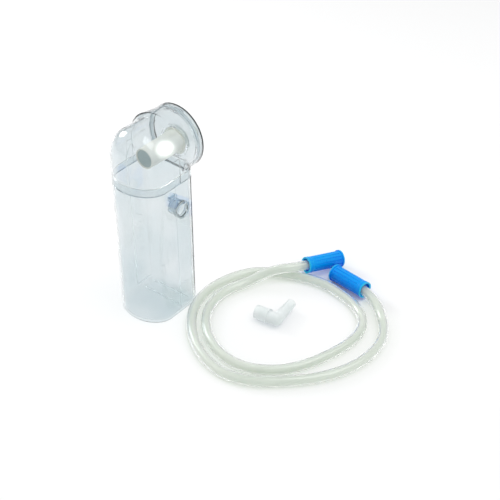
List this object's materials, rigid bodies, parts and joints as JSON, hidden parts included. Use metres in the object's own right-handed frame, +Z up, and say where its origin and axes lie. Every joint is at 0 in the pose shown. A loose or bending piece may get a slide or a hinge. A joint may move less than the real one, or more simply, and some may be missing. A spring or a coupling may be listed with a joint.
{
  "type": "suction canister kit",
  "caption": "Clear suction canister with a domed head and internal filter cartridge, a loose right-angle adaptor and a coiled suction tube with moulded connectors.",
  "frame": {"origin": "on the floor, at the centre of the canister's curved front, in the middle of its width", "axes": "+X across the canister towards its patient port, +Y the way it docks on its pump, +Z up"},
  "size_m": [0.2375, 0.2011, 0.1954],
  "materials": {
    "clear_plastic": "clear moulded plastic, glossy",
    "soft_seal": "translucent elastomer",
    "white_plastic": "satin",
    "membrane": "matte",
    "filter_media": "fibrous",
    "steel": "bright",
    "frosted_plastic": "frosted translucent",
    "tube": "clear soft tubing, glossy",
    "blue_plastic": "satin gloss"
  },
  "bodies": {
    "canister": {"vessel": "clear_plastic", "seam_seal": "soft_seal", "head_shell": "clear_plastic", "end_plate": "clear_plastic", "end_plate_seal": "soft_seal", "filter_housing": "white_plastic", "filter_seal": "soft_seal", "filter_membrane": "membrane", "membrane_ring": "white_plastic", "filter_media": "filter_media", "media_grid": "white_plastic", "filter_cap": "white_plastic", "vacuum_port": "white_plastic", "dock_seal": "soft_seal", "patient_port": "clear_plastic", "port_gasket": "soft_seal", "port_lock_ring": "clear_plastic", "valve_pin": "steel"},
    "flap": {"valve_flap": "soft_seal"},
    "elbow": {"elbow": "frosted_plastic"},
    "tubing": {"suction_tube": "tube", "connector_a": "blue_plastic", "connector_b": "blue_plastic"}
  },
  "joints": [
    {"name": "flap_hinge", "type": "hinge", "parent": "canister", "child": "flap", "pos_m": [0.0151, 0.0208, 0.1194], "axis": [0, 1, 0], "range_deg": [0, 55]},
    {"name": "elbow_lift", "type": "slide", "parent": "canister", "child": "elbow", "axis": [0, 0, 1], "range_m": [0, 0.06]},
    {"name": "tubing_lift", "type": "slide", "parent": "canister", "child": "tubing", "axis": [0, 0, 1], "range_m": [0, 0.06]}
  ]
}
